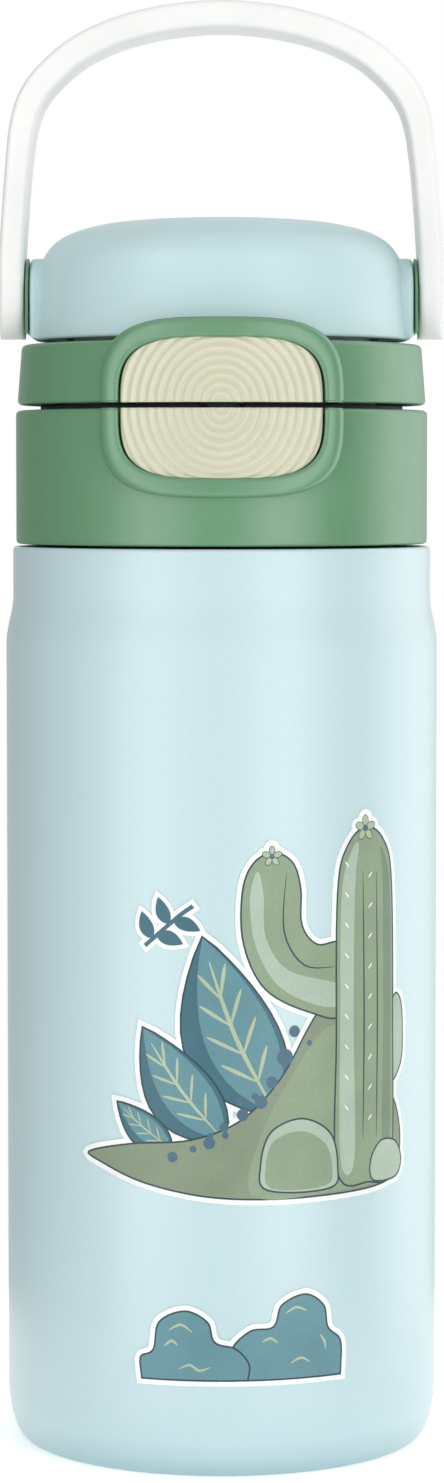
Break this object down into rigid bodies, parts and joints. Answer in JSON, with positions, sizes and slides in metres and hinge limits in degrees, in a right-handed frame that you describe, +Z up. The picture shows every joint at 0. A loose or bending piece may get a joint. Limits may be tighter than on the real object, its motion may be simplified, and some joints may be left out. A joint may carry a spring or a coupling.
{
  "type": "kids water bottle",
  "caption": "Double-walled water bottle with a screw collar, a flip-up middle ring over a wide mouth, a flip-up dome over a straw nozzle, push buttons and a swinging carry handle.",
  "frame": {"origin": "centre of the base, on the surface the bottle stands on", "axes": "+Z up the bottle, -Y towards the front with the two buttons, +X to the right seen from the front"},
  "size_m": [0.0746, 0.0733, 0.2429],
  "materials": {
    "powder_coat": "satin powder coat",
    "pale_blue": "satin",
    "green": "satin",
    "dark_green": "matte",
    "cream": "satin",
    "white": "semi-gloss",
    "silicone": "matte silicone",
    "steel": "brushed",
    "spring": "bright",
    "getter": "matte sintered",
    "film_sage": "printed film",
    "film_teal": "printed film"
  },
  "bodies": {
    "flask": {"outer_shell": "powder_coat", "threaded_neck": "steel", "inner_liner": "steel", "base_plate": "steel", "vacuum_getter": "getter", "garden_sticker": "film_sage", "bush_sticker": "film_teal", "sprig_sticker": "film_teal"},
    "seal_ring": {"neck_seal": "silicone"},
    "spout_ring": {"drinking_spout": "white"},
    "screw_collar": {"collar": "green", "lower_bezel": "green", "thread_core": "dark_green", "lower_button_spring": "spring", "lower_hinge_pin": "spring", "lower_hinge_spring": "spring"},
    "lower_push_button": {"lower_button": "cream", "lower_latch_hook": "cream"},
    "middle_lid": {"mid_ring": "green", "straw_deck": "white", "spout_stopper": "white", "deck_latch": "dark_green", "mouth_seal": "silicone", "straw_nozzle": "silicone", "straw_tube": "silicone", "vent_valve": "silicone", "upper_button_spring": "spring", "upper_hinge_pin": "spring", "upper_hinge_spring": "spring"},
    "upper_push_button": {"upper_button": "cream", "upper_latch_hook": "cream"},
    "dome": {"dome_cap": "pale_blue", "dome_latch": "dark_green", "dome_liner": "white", "nozzle_plug": "silicone", "left_pivot_pin": "white", "right_pivot_pin": "white", "left_pivot_washer": "green", "right_pivot_washer": "green"},
    "handle": {"carry_handle": "white"}
  },
  "joints": [
    {"name": "lid_lift", "type": "slide", "parent": "flask", "child": "seal_ring", "axis": [0, 0, 1], "range_m": [0, 0.2]},
    {"name": "lid_rise", "type": "slide", "parent": "seal_ring", "child": "spout_ring", "axis": [0, 0, 1], "range_m": [0, 0.00501]},
    {"name": "lid_turn", "type": "hinge", "parent": "spout_ring", "child": "screw_collar", "pos_m": [0, 0, 0.17], "axis": [0, 0, 1], "range_deg": [0, 450]},
    {"name": "mid_flip", "type": "hinge", "parent": "screw_collar", "child": "middle_lid", "pos_m": [0, 0.0343, 0.17525], "axis": [-1, 0, 0], "range_deg": [0, 90], "deforming": ["straw_tube"]},
    {"name": "dome_flip", "type": "hinge", "parent": "middle_lid", "child": "dome", "pos_m": [0, 0.031, 0.186], "axis": [-1, 0, 0], "range_deg": [0, 100]},
    {"name": "handle_swing", "type": "hinge", "parent": "dome", "child": "handle", "pos_m": [0, 0, 0.1934], "axis": [1, 0, 0], "range_deg": [-90, 90]},
    {"name": "lower_press", "type": "slide", "parent": "screw_collar", "child": "lower_push_button", "axis": [0, 1, 0], "range_m": [0, 0.0012], "stiffness_N_per_m": 800, "springref_m": -0.001, "deforming": ["lower_button_spring"]},
    {"name": "upper_press", "type": "slide", "parent": "middle_lid", "child": "upper_push_button", "axis": [0, 1, 0], "range_m": [0, 0.0012], "stiffness_N_per_m": 800, "springref_m": -0.001, "deforming": ["upper_button_spring"]}
  ],
  "couplings": [
    {"joint": "lid_rise", "follows": "lid_turn", "m_per_rad": 0.00063662}
  ]
}
